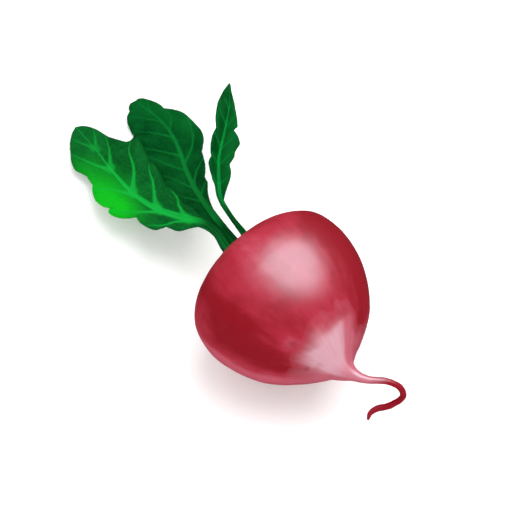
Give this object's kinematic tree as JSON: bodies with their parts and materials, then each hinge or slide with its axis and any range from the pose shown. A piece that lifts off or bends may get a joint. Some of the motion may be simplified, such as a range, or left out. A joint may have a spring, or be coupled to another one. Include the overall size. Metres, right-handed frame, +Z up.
{
  "type": "radish",
  "caption": "Round crimson radish lying on its side, with a pale base running into a thin curled taproot and lobed green leaves at the crown.",
  "frame": {"origin": "middle of the small flat spot under the root, on which the radish rests", "axes": "+X along the root's axis from the leaf crown to the taproot, with the leaves towards -X; +Z up; +Y by the right-hand rule, the side that the young leaf and the taproot's curl lean to"},
  "size_m": [0.1409, 0.0571, 0.0496],
  "materials": {
    "root_skin": "satin",
    "leaf_green": "satin"
  },
  "bodies": {
    "root": {"root": "root_skin", "leaf_front": "leaf_green", "leaf_back": "leaf_green", "leaf_young": "leaf_green"}
  },
  "joints": []
}
